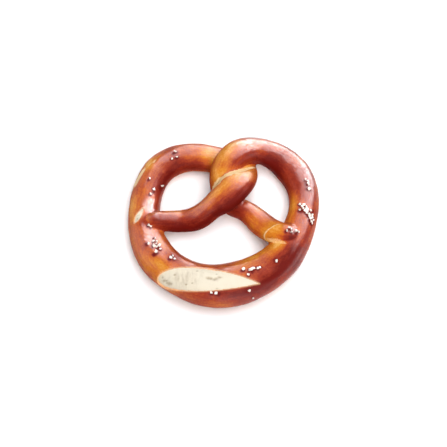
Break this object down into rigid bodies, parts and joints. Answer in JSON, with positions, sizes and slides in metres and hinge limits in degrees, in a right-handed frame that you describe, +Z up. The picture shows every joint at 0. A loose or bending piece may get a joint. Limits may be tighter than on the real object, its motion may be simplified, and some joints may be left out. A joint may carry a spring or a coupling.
{
  "type": "soft pretzel",
  "caption": "Soft pretzel: one thick rope of baked dough laid as a ring and twisted, with a long split in the crust of its belly.",
  "frame": {"origin": "middle of the pretzel's outline seen from above, on the surface it lies on", "axes": "+Z up; the thick belly with its split is towards -Y, the twist towards +Y, and the two loops are side by side along X"},
  "size_m": [0.1504, 0.1384, 0.0352],
  "materials": {
    "crust": "shiny dark brown lye-baked crust, golden where the dough was stretched or shaded",
    "crumb": "dry, pale, fine-pored bread crumb where the crust has split open",
    "salt": "coarse white salt grains, slightly clear"
  },
  "bodies": {
    "root": {"pretzel": "crust"}
  },
  "joints": []
}
